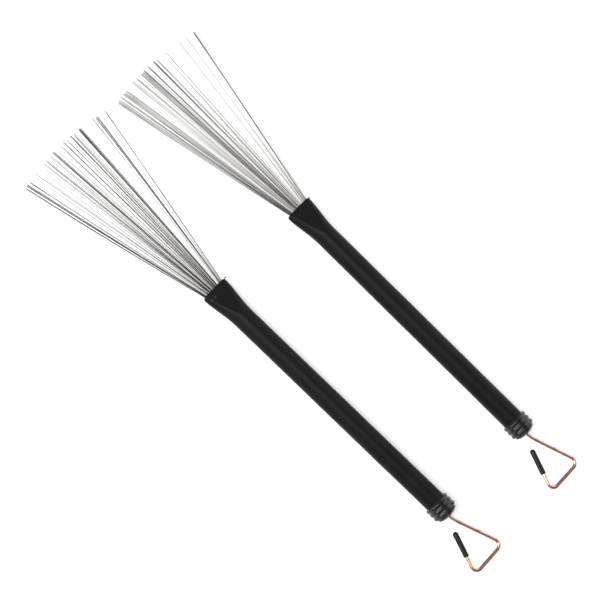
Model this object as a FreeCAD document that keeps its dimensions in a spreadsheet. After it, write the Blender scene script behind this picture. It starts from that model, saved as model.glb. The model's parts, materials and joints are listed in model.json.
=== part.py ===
import FreeCAD, Part
import math
import os
import Sketcher

# A pair of retractable wire drum brushes, lying side by side on a table as they are sold.
# Each brush has a black rubber sleeve over an aluminium tube whose front end is pressed flat and
# flared. A pull rod with a bent triangular loop runs down the tube to a brass ferrule, which holds
# the fan of wires. Pulling the loop draws the ferrule back and folds the fan into the tube.
#
# Row frame: +X towards the wire tips, +Z up, the table at z = 0, the origin under the middle of the
# pair. Each brush is drawn in a frame of its own, with its mouth at x = 0, its axis along x, x
# growing from the mouth back to the loop, and z up, and is then laid on the table.

# name, size in mm or degrees, what it is
DIMENSIONS = [
    ("tube_dia", 12.7, "outside of the aluminium tube"),
    ("tube_wall", 0.9, "its wall"),
    ("tube_short", 0.95, "the tube's back end, in front of the end of the cap's ribs"),
    ("sleeve_length", 191.0, "rubber sleeve, mouth to back end"),
    ("sleeve_wall", 0.73, "rubber thickness"),
    ("sleeve_fit", 0.02, "gap between the rubber and the tube"),
    ("lip_overhang", 0.5, "sleeve that stands past the tube at the mouth"),
    ("flare_length", 25.5, "length over which the tube is pressed and flared"),
    ("flare_spread", 2.45, "growth of the half-width at the mouth"),
    ("flare_dip", 1.6, "loss of the rounded half-height at the mouth"),
    ("mouth_half_height", 3.0, "from the axis to the sleeve's flat pressed face, at the mouth"),
    ("press_relief", 0.35, "how far the pressed planes pass over the round tube"),
    ("mouth_corner", 2.4, "corner radius of the mouth, seen from above"),
    ("corner_margin", 0.15, "the corner cut stands this far outside the flare"),
    ("cap_gap", 0.9, "bare tube between the sleeve and the end cap"),
    ("cap_fit", 0.02, "gap between the end cap and the tube"),
    ("cap_back", 3.6, "end cap behind its ribs"),
    ("cap_wall", 1.58, "rubber over the line of the tube, in the grooves between the ribs"),
    ("cap_waist_wall", 0.38, "the same at the waist behind the ribs"),
    ("cap_brim_wall", 0.88, "the same at the brim of the dome"),
    ("cap_waist_at", 0.167, "where the waist is, as a share of the cap behind its ribs"),
    ("cap_brim_at", 0.417, "where the brim is, as the same share"),
    ("cap_brim_width", 0.3, "flat of the brim"),
    ("cap_dome_radius", 8.0, "curve of the dome"),
    ("cap_nose_wall", 0.42, "end of the dome, round the rod's hole"),
    ("rib_pitch", 3.34, "spacing of the ribs"),
    ("rib_count", 3, "number of ribs"),
    ("rib_width", 1.5, "each rib, which is a round bead half sunk in the cap"),
    ("rib_margin", 0.085, "plain cap in front of the first rib, and behind the last"),
    ("rib_height", 0.7, "each rib over its groove"),
    ("plug_length", 16.0, "plastic bush in the back of the tube, which guides the rod"),
    ("plug_fit", 0.01, "gap between the plug and the tube"),
    ("ring_cord", 1.8, "thickness of the friction ring"),
    ("ring_side_gap", 0.1, "gap each side of the friction ring in its seat"),
    ("ring_seat_fit", 0.02, "gap round the outside of the friction ring"),
    ("running_fit", 0.08, "radial gap between parts that slide on each other"),
    ("rod_dia", 2.5, "copper-plated steel pull rod"),
    ("rod_in_ferrule", 10.0, "rod held in the ferrule's socket"),
    ("exit_bend", 16.0, "radius of the rod's bend behind the cap"),
    ("exit_bend_back", 2.95, "corner of that bend, behind the cap"),
    ("loop_lean", 18.35, "angle of the loop's first leg to the axis"),
    ("loop_base", 36.2, "loop's cross leg, behind the cap"),
    ("loop_corner", 4.0, "radius of the loop's corner at the end of the first leg"),
    ("loop_back_corner", 3.6, "radius of the other corner"),
    ("return_lean", 20.3, "angle of the free leg to the axis"),
    ("rod_end_back", 10.4, "free end of the rod, behind the cap"),
    ("rod_end_side", 5.95, "free end of the rod, beside the axis"),
    ("tip_skin", 0.54, "vinyl round the rod's free end"),
    ("tip_cover", 15.4, "rod inside that cap"),
    ("tip_wall", 1.6, "end wall of that cap"),
    ("rod_fit", 0.01, "gap round the rod where it is held"),
    ("ferrule_gap", 1.25, "between the tube's bore and the brass ferrule that holds the wires"),
    ("ferrule_in_flare", 6.7, "ferrule's front face, in front of the flare's back end"),
    ("ferrule_web", 3.0, "solid brass between the slot for the wires and the rod's socket"),
    ("ferrule_chamfer", 0.6, "its front and back edges"),
    ("slot_depth", 15.0, "slot in the ferrule for the wires"),
    ("crimp_depth", 0.35, "crimped grooves round the ferrule"),
    ("crimp_width", 1.6, "each crimped groove"),
    ("crimp_pitch", 4.5, "spacing of the crimped grooves"),
    ("crimp_start", 5.0, "first crimped groove, behind the ferrule's face"),
    ("crimp_count", 2, "number of crimped grooves"),
    ("bush_length", 7.0, "nylon slide bush at the back of the ferrule"),
    ("bush_fit", 0.01, "gap between the bush and the ferrule"),
    ("wire_dia", 0.3, "spring steel wire"),
    ("wire_pitch", 0.4, "spacing of the wires in the ferrule"),
    ("wire_rows", 4, "rows of wires, one above the other"),
    ("wires_per_row", 17, "wires in a row"),
    ("wire_fit", 0.03, "gap between the wires and the slot"),
    ("wire_bend", 30.0, "radius of each wire's bend at the ferrule"),
    ("fan_mouth_gap", 0.42, "between the outermost wire and the side of the tube's mouth"),
    ("fan_rise_angle", 0.55, "top or bottom row to the axis"),
    ("fan_reach", 163.9, "from the point that the wires spread from to their tips"),
    ("fan_gap_at", 0.46, "share of the half-angle where the fan has its open gap"),
    ("fan_gap", 0.17, "width of that gap, as a share of the half-angle"),
    ("fan_waves", 3, "times that the wires bunch up across the fan"),
    ("fan_wave", 0.011, "how strongly they bunch, as a share of the fan"),
    ("pair_spacing", 75.6, "between the two mouths, across the handles"),
    ("pair_stagger", 1.6, "left mouth ahead of the right one"),
    ("pair_toe", 0.74, "angle between the two brushes"),
]

doc = FreeCAD.newDocument("wire_drum_brushes")
sheet = doc.addObject("Spreadsheet::Sheet", "Sizes")
for row, (alias, value, meaning) in enumerate(DIMENSIONS, start=1):
    sheet.set(f"A{row}", meaning)
    sheet.set(f"B{row}", str(value))
    sheet.setAlias(f"B{row}", alias)
doc.recompute()

# Sizes that several pieces share, as expressions of the spreadsheet.
SLEEVE_RADIUS = "(Sizes.tube_dia / 2 + Sizes.sleeve_fit + Sizes.sleeve_wall)"
BORE_RADIUS = "(Sizes.tube_dia / 2 - Sizes.tube_wall)"
CAP_BORE = "(Sizes.tube_dia / 2 + Sizes.cap_fit)"
CAP_GROOVE = f"({CAP_BORE} + Sizes.cap_wall)"
CAP_FRONT = "(Sizes.sleeve_length + Sizes.cap_gap)"
RIB_MIDDLE = f"({CAP_FRONT} + Sizes.rib_margin + Sizes.rib_width / 2)"
LAST_RIB = f"({RIB_MIDDLE} + Sizes.rib_pitch * (Sizes.rib_count - 1))"
RIBS_BACK = f"({LAST_RIB} + Sizes.rib_width / 2 + Sizes.rib_margin)"
CAP_BACK = f"({RIBS_BACK} + Sizes.cap_back)"
TUBE_BACK = f"({RIBS_BACK} - Sizes.tube_short)"
PLUG_FRONT = f"({TUBE_BACK} - Sizes.plug_length)"
ROD_RADIUS = "(Sizes.rod_dia / 2)"
ROD_HOLE = f"({ROD_RADIUS} + Sizes.running_fit)"
FERRULE_RADIUS = f"({BORE_RADIUS} - Sizes.ferrule_gap)"
FERRULE_FRONT = "(Sizes.flare_length - Sizes.ferrule_in_flare)"
SLOT_BACK = f"({FERRULE_FRONT} + Sizes.slot_depth)"
FERRULE_BACK = f"({SLOT_BACK} + Sizes.ferrule_web + Sizes.rod_in_ferrule)"
ROW_WIDTH = "((Sizes.wires_per_row - 1) * Sizes.wire_pitch)"
SLOT_WIDTH = f"({ROW_WIDTH} + Sizes.wire_dia + 2 * Sizes.wire_fit)"
SLOT_HEIGHT = "((Sizes.wire_rows - 1) * Sizes.wire_pitch + Sizes.wire_dia + 2 * Sizes.wire_fit)"

# The outermost wire clears the mouth's side by its gap. That sets how far the fan spreads between
# the ferrule and the mouth, its half angle, and the point that all its wires come from.
MOUTH_SIDE = f"({BORE_RADIUS} + Sizes.flare_spread)"
FAN_SPREAD = f"({MOUTH_SIDE} - Sizes.fan_mouth_gap - Sizes.wire_dia / 2 - {ROW_WIDTH} / 2)"
FAN_HALF_ANGLE = f"(atan({FAN_SPREAD} / {FERRULE_FRONT}))"
FAN_APEX = f"({FERRULE_FRONT} * (1 + {ROW_WIDTH} / 2 / {FAN_SPREAD}))"

OVERRUN = 1.0  # cuts and bores run on this far past the solid, so that they go right through
PRESS_RUN = 2.0  # and the planes that press the flare this far
LEAST_CUT = 1.0  # mm3, below which a slot or socket has missed its piece


def value_of(expression):
    """The number that an expression of the spreadsheet gives now."""
    found = sheet.evalExpression(str(expression))
    return float(getattr(found, "Value", found))


# ---------------------------------------------------------------- sketches

def new_body(label):
    body = doc.addObject("PartDesign::Body", label)
    body.Label = label
    return body


def sketch_in(body, role, label, along=None):
    """A sketch on one of the body's origin planes, moved along the plane's normal."""
    plane = next(f for f in body.Origin.OriginFeatures if f.Role == role)
    sketch = body.newObject("Sketcher::SketchObject", f"{body.Name}_{label}")
    sketch.AttachmentSupport = [(plane, "")]
    sketch.MapMode = "FlatFace"
    if along is not None:
        sketch.setExpression("AttachmentOffset.Base.z", along)
    return sketch


def pin_point(sketch, geometry, end, x, y):
    """Holds one point of the sketch at a place given by two expressions."""
    for kind, expression in (("DistanceX", x), ("DistanceY", y)):
        constraint = Sketcher.Constraint(kind, -1, 1, geometry, end, value_of(expression))
        index = sketch.addConstraint(constraint)
        sketch.setExpression(f"Constraints[{index}]", str(expression))


def set_radius(sketch, geometry, radius):
    index = sketch.addConstraint(Sketcher.Constraint("Radius", geometry, value_of(radius)))
    sketch.setExpression(f"Constraints[{index}]", str(radius))


def arc_between(start, finish, radius, turn):
    """A short arc from start to finish. turn is 1 to the left and -1 to the right."""
    chord = finish - start
    height = math.sqrt(max(radius**2 - chord.Length**2 / 4, 0.0))
    across = FreeCAD.Vector(-chord.y, chord.x, 0).normalize()
    centre = start + chord * 0.5 + across * (turn * height)
    first, last = (start, finish) if turn > 0 else (finish, start)
    begin = math.atan2(first.y - centre.y, first.x - centre.x)
    end = math.atan2(last.y - centre.y, last.x - centre.x)
    if end < begin:
        end += 2 * math.pi
    circle = Part.Circle(centre, FreeCAD.Vector(0, 0, 1), radius)
    return Part.ArcOfCircle(circle, begin, end)


def closed_outline(sketch, corners):
    """A closed outline. Each corner is (x, y) or (x, y, radius, turn), with an arc to the next."""
    places = [FreeCAD.Vector(value_of(c[0]), value_of(c[1]), 0) for c in corners]
    ends = []
    for index, corner in enumerate(corners):
        start, finish = places[index], places[(index + 1) % len(places)]
        if len(corner) == 2:
            sketch.addGeometry(Part.LineSegment(start, finish), False)
            ends.append((1, 2))
        else:
            sketch.addGeometry(arc_between(start, finish, value_of(corner[2]), corner[3]), False)
            ends.append((1, 2) if corner[3] > 0 else (2, 1))
    for index in range(len(corners)):
        following = (index + 1) % len(corners)
        joint = ("Coincident", index, ends[index][1], following, ends[following][0])
        sketch.addConstraint(Sketcher.Constraint(*joint))
    for index, corner in enumerate(corners):
        pin_point(sketch, index, ends[index][0], corner[0], corner[1])
        if len(corner) > 2:
            set_radius(sketch, index, corner[2])


def circle_at(sketch, x, y, radius):
    centre = FreeCAD.Vector(value_of(x), value_of(y), 0)
    circle = Part.Circle(centre, FreeCAD.Vector(0, 0, 1), value_of(radius))
    index = sketch.addGeometry(circle, False)
    pin_point(sketch, index, 3, x, y)
    set_radius(sketch, index, radius)


def spun(body, label, sketch, kind="Revolution"):
    """A full revolution or groove about the sketch's own x axis."""
    feature = body.newObject(f"PartDesign::{kind}", f"{body.Name}_{label}")
    feature.Profile = sketch
    feature.ReferenceAxis = (sketch, ["H_Axis"])
    feature.Angle = 360
    return feature


def turned(body, label, corners, kind="Revolution"):
    """A piece turned about the brush's axis. Each corner is (distance back, radius)."""
    sketch = sketch_in(body, "XY_Plane", f"{label}_profile")
    closed_outline(sketch, corners)
    return spun(body, label, sketch, kind)


def round_ring(body, label, back, ring_radius, cord_radius):
    """A ring of round section about the brush's axis."""
    sketch = sketch_in(body, "XY_Plane", f"{label}_section")
    circle_at(sketch, back, ring_radius, cord_radius)
    return spun(body, label, sketch)


def repeated_along(body, feature, count, spacing):
    """Repeats a feature along the brush's axis."""
    pattern = body.newObject("PartDesign::LinearPattern", f"{feature.Name}_row")
    pattern.Originals = [feature]
    pattern.Direction = (feature.Profile[0], ["H_Axis"])
    pattern.setExpression("Occurrences", count)
    pattern.setExpression("Length", f"({count} - 1) * {spacing}")
    body.Tip = pattern
    return pattern


def ring_corners(front, back, inner, outer):
    return [(front, inner), (front, outer), (back, outer), (back, inner)]


# ---------------------------------------------------------------- the pressed and flared tube

ACROSS_THE_AXIS = FreeCAD.Rotation(FreeCAD.Vector(1, 1, 1), 120)  # turns x, y, z to y, z, x
ALONG_THE_AXIS = FreeCAD.Rotation(FreeCAD.Vector(0, 1, 0), 90)  # turns z to x
FLARE_STATIONS = 6


def pressed_form(name, inset, front, back, corner=None):
    """The tube's outer form, pressed and flared, with every surface moved in by inset.

    corner is the radius of the mouth's corners seen from above, or None for a bore.
    """
    radius = f"({SLEEVE_RADIUS} - {inset})"
    ellipses = []
    for station in range(-1, FLARE_STATIONS):
        share = max(station, 0) / (FLARE_STATIONS - 1)
        opened = 1 - share
        weight = opened**2 * (3 - 2 * opened)
        ellipse = doc.addObject("Part::Ellipse", f"{name}_section")
        ellipse.Placement.Rotation = ACROSS_THE_AXIS
        ellipse.setExpression("MajorRadius", f"{radius} + Sizes.flare_spread * {weight}")
        ellipse.setExpression("MinorRadius", f"{radius} - Sizes.flare_dip * {weight}")
        ahead = OVERRUN if station < 0 else 0
        ellipse.setExpression("Placement.Base.x", f"Sizes.flare_length * {share} - {ahead}")
        ellipses.append(ellipse)
    flare = doc.addObject("Part::Loft", f"{name}_flare")
    flare.Sections = ellipses
    flare.Solid = True

    # Two sloping planes press the flare flat above and below.
    slope = f"(({SLEEVE_RADIUS} + Sizes.press_relief - Sizes.mouth_half_height) / Sizes.flare_length)"
    press = doc.addObject("Part::Wedge", f"{name}_press")
    press.Placement.Rotation = FreeCAD.Rotation(FreeCAD.Vector(0, 0, 1), -90)
    press.setExpression("Ymin", f"-{PRESS_RUN}")
    press.setExpression("Ymax", f"Sizes.flare_length + {PRESS_RUN}")
    near = f"(Sizes.mouth_half_height - {inset} - {slope} * {PRESS_RUN})"
    far = f"({SLEEVE_RADIUS} + Sizes.press_relief - {inset} + {slope} * {PRESS_RUN})"
    for low, high, half in (("Zmin", "Zmax", near), ("Z2min", "Z2max", far)):
        press.setExpression(low, f"-{half}")
        press.setExpression(high, half)
    side = f"({SLEEVE_RADIUS} + Sizes.flare_spread + {PRESS_RUN})"
    for low, high in (("Xmin", "Xmax"), ("X2min", "X2max")):
        press.setExpression(low, f"-{side}")
        press.setExpression(high, side)

    shapes = [flare, press]
    if corner is not None:
        shapes.append(mouth_cut(name, inset, front, corner))
    pressed = doc.addObject("Part::MultiCommon", f"{name}_pressed")
    pressed.Shapes = shapes

    barrel = doc.addObject("Part::Cylinder", f"{name}_barrel")
    barrel.Placement.Rotation = ALONG_THE_AXIS
    barrel.setExpression("Placement.Base.x", "Sizes.flare_length")
    barrel.setExpression("Radius", radius)
    barrel.setExpression("Height", f"{back} - Sizes.flare_length")
    form = doc.addObject("Part::MultiFuse", f"{name}_form")
    form.Shapes = [pressed, barrel]
    return form


def mouth_cut(name, inset, front, corner):
    """A tall block with two rounded corners at the front, which trims the mouth."""
    half = f"({SLEEVE_RADIUS} + Sizes.flare_spread + Sizes.corner_margin - {inset})"
    back = f"(Sizes.flare_length + {OVERRUN})"
    sketch = doc.addObject("Sketcher::SketchObject", f"{name}_mouth_outline")
    closed_outline(sketch, [
        (back, f"-{half}"),
        (back, half),
        (f"{front} + {corner}", half, corner, 1),
        (front, f"{half} - {corner}"),
        (front, f"{corner} - {half}", corner, 1),
        (f"{front} + {corner}", f"-{half}"),
    ])
    block = doc.addObject("Part::Extrusion", f"{name}_mouth_cut")
    block.Base = sketch
    block.DirMode = "Custom"
    block.Dir = FreeCAD.Vector(0, 0, 1)
    block.Symmetric = True
    block.Solid = True
    block.setExpression("LengthFwd", f"4 * {SLEEVE_RADIUS}")
    return block


def hollow_form(label, inset, wall, front, back):
    """A pressed tube: the outer form less the same form moved in by the wall."""
    outer = pressed_form(f"{label}_outer", inset, front, back, f"(Sizes.mouth_corner - {inset})")
    bore_back = f"({back} + {OVERRUN})"
    inner = pressed_form(f"{label}_inner", f"({inset} + {wall})", front, bore_back)
    tube = doc.addObject("Part::Cut", label)
    tube.Label = label
    tube.Base = outer
    tube.Tool = inner
    return tube


def grip_sleeve(label):
    """Black rubber sleeve, shrunk on the tube over its whole length."""
    return hollow_form(label, "0", "Sizes.sleeve_wall", "0", "Sizes.sleeve_length")


def handle_tube(label):
    """Drawn aluminium tube, its front end pressed flat and flared into the mouth."""
    inset = "(Sizes.sleeve_wall + Sizes.sleeve_fit)"
    return hollow_form(label, inset, "Sizes.tube_wall", "Sizes.lip_overhang", TUBE_BACK)


# ---------------------------------------------------------------- the back end of the handle

def end_cap(label):
    """Moulded rubber cap over the tube's back end, with ribs, a waist and a domed end."""
    body = new_body(label)
    floor = f"({TUBE_BACK} + Sizes.cap_fit)"
    waist = f"({RIBS_BACK} + Sizes.cap_back * Sizes.cap_waist_at)"
    brim = f"({RIBS_BACK} + Sizes.cap_back * Sizes.cap_brim_at)"
    brim_radius = f"{CAP_BORE} + Sizes.cap_brim_wall"
    turned(body, "blank", [
        (CAP_FRONT, CAP_BORE),
        (CAP_FRONT, CAP_GROOVE),
        (RIBS_BACK, CAP_GROOVE),
        (waist, f"{CAP_BORE} + Sizes.cap_waist_wall"),
        (f"{brim} - Sizes.cap_brim_width", brim_radius),
        (brim, brim_radius, "Sizes.cap_dome_radius", -1),
        (CAP_BACK, f"{ROD_HOLE} + Sizes.cap_nose_wall"),
        (CAP_BACK, ROD_HOLE),
        (floor, ROD_HOLE),
        (floor, CAP_BORE),
    ])
    bead = "(Sizes.rib_width / 2)"
    rib = round_ring(body, "rib", RIB_MIDDLE, f"{CAP_GROOVE} + Sizes.rib_height - {bead}", bead)
    repeated_along(body, rib, "Sizes.rib_count", "Sizes.rib_pitch")
    return body


def end_plug(label):
    """Black plastic bush pressed into the tube's back end. It guides the rod and seats the ring."""
    body = new_body(label)
    seat = f"({ROD_HOLE} + Sizes.ring_cord + Sizes.ring_seat_fit)"
    seat_front = f"({TUBE_BACK} - Sizes.ring_cord - 2 * Sizes.ring_side_gap)"
    turned(body, "blank", [
        (PLUG_FRONT, ROD_HOLE),
        (PLUG_FRONT, f"{BORE_RADIUS} - Sizes.plug_fit"),
        (TUBE_BACK, f"{BORE_RADIUS} - Sizes.plug_fit"),
        (TUBE_BACK, seat),
        (seat_front, seat),
        (seat_front, ROD_HOLE),
    ])
    return body


def friction_ring(label):
    """Rubber ring in the plug's seat, closed in by the cap, which keeps the rod where it is set."""
    body = new_body(label)
    middle = f"({TUBE_BACK} - Sizes.ring_cord / 2 - Sizes.ring_side_gap)"
    cord = "Sizes.ring_cord / 2"
    round_ring(body, "ring", middle, f"{ROD_HOLE} + {cord}", cord)
    return body


# ---------------------------------------------------------------- the pull rod

def rod_corners():
    """The rod's line before its corners are rounded, and the radius at each corner."""
    back = value_of(CAP_BACK)
    start = FreeCAD.Vector(value_of(f"{FERRULE_BACK} - Sizes.rod_in_ferrule"), 0, 0)
    bend = FreeCAD.Vector(back + value_of("Sizes.exit_bend_back"), 0, 0)
    base = back + value_of("Sizes.loop_base")
    lean = math.tan(math.radians(value_of("Sizes.loop_lean")))
    first = FreeCAD.Vector(base, (base - bend.x) * lean, 0)
    end_back = value_of("Sizes.rod_end_back")
    finish = FreeCAD.Vector(back + end_back, -value_of("Sizes.rod_end_side"), 0)
    lean = math.tan(math.radians(value_of("Sizes.return_lean")))
    second = FreeCAD.Vector(base, finish.y - (base - finish.x) * lean, 0)
    radii = [value_of(f"Sizes.{n}") for n in ("exit_bend", "loop_corner", "loop_back_corner")]
    return [start, bend, first, second, finish], radii


def rod_path(sketch):
    """The rod's centre line: straight legs joined by tangent arcs, every one held by a size."""
    points, radii = rod_corners()
    last = points[0]
    for index, radius in enumerate(radii, start=1):
        before = (points[index - 1] - points[index]).normalize()
        after = (points[index + 1] - points[index]).normalize()
        reach = radius / math.tan(before.getAngle(after) / 2)
        start, finish = points[index] + before * reach, points[index] + after * reach
        turn = 1 if before.cross(after).z < 0 else -1
        sketch.addGeometry(Part.LineSegment(last, start), False)
        sketch.addGeometry(arc_between(start, finish, radius, turn), False)
        last = finish
    sketch.addGeometry(Part.LineSegment(last, points[-1]), False)

    # Legs are 0, 2, 4 and 6, and the arcs between them 1, 3 and 5. The first arc turns left,
    # towards +y, and the other two turn right.
    arc_ends = {1: (1, 2), 3: (2, 1), 5: (2, 1)}
    for arc, (enter, leave) in arc_ends.items():
        sketch.addConstraint(Sketcher.Constraint("Tangent", arc - 1, 2, arc, enter))
        sketch.addConstraint(Sketcher.Constraint("Tangent", arc, leave, arc + 1, 1))
    for arc, alias in ((1, "exit_bend"), (3, "loop_corner"), (5, "loop_back_corner")):
        set_radius(sketch, arc, f"Sizes.{alias}")
    pin_point(sketch, 0, 1, f"{FERRULE_BACK} - Sizes.rod_in_ferrule", "0")
    bend_start = f"{CAP_BACK} + Sizes.exit_bend_back - Sizes.exit_bend * tan(Sizes.loop_lean / 2)"
    pin_point(sketch, 0, 2, bend_start, "0")
    pin_point(sketch, 6, 2, f"{CAP_BACK} + Sizes.rod_end_back", "-Sizes.rod_end_side")
    sketch.addConstraint(Sketcher.Constraint("Vertical", 4))
    cross = Sketcher.Constraint("DistanceX", -1, 1, 4, 1, points[2].x)
    index = sketch.addConstraint(cross)
    sketch.setExpression(f"Constraints[{index}]", f"{CAP_BACK} + Sizes.loop_base")
    for leg, enter, direction in ((2, 1, "Sizes.loop_lean"), (6, 1, "180 - Sizes.return_lean")):
        angle = Sketcher.Constraint("Angle", leg, math.radians(value_of(direction)))
        index = sketch.addConstraint(angle)
        sketch.setExpression(f"Constraints[{index}]", f"({direction}) * 1 deg")


def pull_rod(label):
    """Copper-plated steel rod: straight in the handle, then bent into an open triangular loop."""
    body = new_body(label)
    path = sketch_in(body, "XY_Plane", "path")
    rod_path(path)
    section = sketch_in(body, "YZ_Plane", "section", f"{FERRULE_BACK} - Sizes.rod_in_ferrule")
    circle_at(section, "0", "0", ROD_RADIUS)
    rod = body.newObject("PartDesign::AdditivePipe", f"{label}_bar")
    rod.Profile = section
    rod.Spine = path
    return body


def rod_tip(label):
    """Black vinyl cap pushed on the free end of the loop, with a rounded end."""
    body = new_body(label)
    sketch = sketch_in(body, "XY_Plane", "profile")
    sketch.AttachmentOffset = FreeCAD.Placement(
        FreeCAD.Vector(0, 0, 0), FreeCAD.Rotation(FreeCAD.Vector(0, 0, -1), 1)
    )
    sketch.setExpression("AttachmentOffset.Base.x", f"{CAP_BACK} + Sizes.rod_end_back")
    sketch.setExpression("AttachmentOffset.Base.y", "-Sizes.rod_end_side")
    sketch.setExpression("AttachmentOffset.Rotation.Angle", "Sizes.return_lean * 1 deg")
    socket = f"({ROD_RADIUS} + Sizes.rod_fit)"
    radius = f"({socket} + Sizes.tip_skin)"
    closed_outline(sketch, [
        ("-Sizes.tip_wall", "0", radius, -1),
        (f"{radius} - Sizes.tip_wall", radius),
        ("Sizes.tip_cover", radius),
        ("Sizes.tip_cover", socket),
        ("-Sizes.rod_fit", socket),
        ("-Sizes.rod_fit", "0"),
    ])
    spun(body, "cap", sketch)
    return body


# ---------------------------------------------------------------- the ferrule and the wires

def wire_ferrule(label):
    """Brass ferrule: a flat slot in front for the wires, a socket behind for the rod."""
    body = new_body(label)
    bevel = "Sizes.ferrule_chamfer"
    turned(body, "blank", [
        (FERRULE_FRONT, "0"),
        (FERRULE_FRONT, f"{FERRULE_RADIUS} - {bevel}"),
        (f"{FERRULE_FRONT} + {bevel}", FERRULE_RADIUS),
        (f"{FERRULE_BACK} - {bevel}", FERRULE_RADIUS),
        (FERRULE_BACK, f"{FERRULE_RADIUS} - {bevel}"),
        (FERRULE_BACK, "0"),
    ])
    start = f"({FERRULE_FRONT} + Sizes.crimp_start)"
    bottom, clear = f"{FERRULE_RADIUS} - Sizes.crimp_depth", f"{FERRULE_RADIUS} + {OVERRUN}"
    grooved = ring_corners(start, f"{start} + Sizes.crimp_width", bottom, clear)
    crimp = turned(body, "crimp", grooved, "Groove")
    repeated_along(body, crimp, "Sizes.crimp_count", "Sizes.crimp_pitch")
    doc.recompute()
    cuts = [
        ("slot", FERRULE_FRONT, "Sizes.slot_depth", True),
        ("socket", FERRULE_BACK, "Sizes.rod_in_ferrule", False),
    ]
    for name, plane, depth, backwards in cuts:
        before = body.Shape.Volume
        sketch = sketch_in(body, "YZ_Plane", f"{name}_outline", plane)
        if name == "slot":
            wide, high = f"{SLOT_WIDTH} / 2", f"{SLOT_HEIGHT} / 2"
            closed_outline(sketch, ring_corners(f"-{wide}", wide, f"-{high}", high))
        else:
            circle_at(sketch, "0", "0", f"{ROD_RADIUS} + Sizes.rod_fit")
        pocket = body.newObject("PartDesign::Pocket", f"{label}_{name}")
        pocket.Profile = sketch
        pocket.Reversed = backwards
        pocket.setExpression("Length", depth)
        doc.recompute()
        if body.Shape.Volume > before - LEAST_CUT:
            raise RuntimeError(f"{label}: the {name} cut nothing")
    return body


def slide_bush(label):
    """Nylon bush on the back of the ferrule, which runs in the tube's bore and meets the plug."""
    body = new_body(label)
    turned(body, "ring", ring_corners(
        f"{FERRULE_BACK} - Sizes.bush_length",
        FERRULE_BACK,
        f"{FERRULE_RADIUS} + Sizes.bush_fit",
        f"{BORE_RADIUS} - Sizes.running_fit",
    ))
    return body


def fan_share(place, wave):
    """Where a wire points, from -1 to 1 of the fan's half-angle, for a place from 0 to 1.

    The wires bunch a little, in waves, and leave one open gap on the +y side.
    """
    turns = value_of("Sizes.fan_waves") * place
    place += value_of("Sizes.fan_wave") * math.sin(2 * math.pi * turns + wave)
    gap_at = value_of("Sizes.fan_gap_at")
    gap = value_of("Sizes.fan_gap")
    share = min(max(place, 0.0), 1.0) * (2 - gap) - 1
    return share if share < gap_at else share + gap


def straight_then_bent(start, turn_at, sideways, upward, bend, reach):
    """One wire's line: straight, then a tangent arc, then straight to the tip."""
    ahead = FreeCAD.Vector(-1, 0, 0)
    aim = FreeCAD.Vector(-1, math.tan(sideways), math.tan(upward)).normalize()
    tangent = bend * math.tan(ahead.getAngle(aim) / 2)
    corner = FreeCAD.Vector(turn_at - tangent, start.y, start.z)
    enter, leave = corner - ahead * tangent, corner + aim * tangent
    sagitta = (leave - enter).Length / 2 * math.tan(ahead.getAngle(aim) / 4)
    middle = (enter + leave) * 0.5 - (aim - ahead).normalize() * sagitta
    tip = corner + aim * reach(corner, aim)
    return Part.Wire([
        Part.LineSegment(start, enter).toShape(),
        Part.Arc(enter, middle, leave).toShape(),
        Part.LineSegment(leave, tip).toShape(),
    ])


def wires(label, wave):
    """The fan: rows of spring steel wires, each straight in the ferrule and bent as it leaves."""
    rows = int(value_of("Sizes.wire_rows"))
    columns = int(value_of("Sizes.wires_per_row"))
    pitch = value_of("Sizes.wire_pitch")
    radius = value_of("Sizes.wire_dia") / 2
    root = value_of(f"{SLOT_BACK} - Sizes.wire_fit")
    front = value_of(FERRULE_FRONT)
    bend = value_of("Sizes.wire_bend")
    half_angle = math.radians(value_of(FAN_HALF_ANGLE))
    apex = FreeCAD.Vector(value_of(FAN_APEX), 0, 0)

    def reach(corner, aim):
        """Distance from the corner to the arc of the tips, which is centred on the apex."""
        offset = corner - apex
        along = offset.dot(aim)
        return -along + math.sqrt(along**2 - offset.Length**2 + value_of("Sizes.fan_reach") ** 2)

    solids = []
    for row in range(rows):
        level = row - (rows - 1) / 2
        rise = math.radians(value_of("Sizes.fan_rise_angle")) * level / max((rows - 1) / 2, 1)
        for column in range(columns):
            place = (column * rows + row + 0.5) / (rows * columns)
            sideways = half_angle * fan_share(place, wave)
            start = FreeCAD.Vector(root, (column - (columns - 1) / 2) * pitch, level * pitch)
            line = straight_then_bent(start, front, sideways, rise, bend, reach)
            ring = Part.Circle(start, FreeCAD.Vector(1, 0, 0), radius).toShape()
            solids.append(line.makePipeShell([Part.Wire(ring)], True, True))
    fan = doc.addObject("Part::Feature", label)
    fan.Label = label
    fan.Shape = Part.makeCompound(solids)
    return fan


# ---------------------------------------------------------------- the pair

LEFT, RIGHT = 1, -1
NAMES = {LEFT: "left", RIGHT: "right"}
WAVE_START = {LEFT: 0.4, RIGHT: 2.6}  # radians, so that the two fans bunch in different places


def build_brush(side):
    """Every piece of one brush, each in a node of its own."""
    makers = [grip_sleeve, handle_tube, end_cap, end_plug, friction_ring]
    makers += [pull_rod, rod_tip, wire_ferrule, slide_bush]
    nodes = [make(f"{NAMES[side]}_{make.__name__}") for make in makers]
    nodes.append(wires(f"{NAMES[side]}_wires", WAVE_START[side]))
    return nodes


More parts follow.
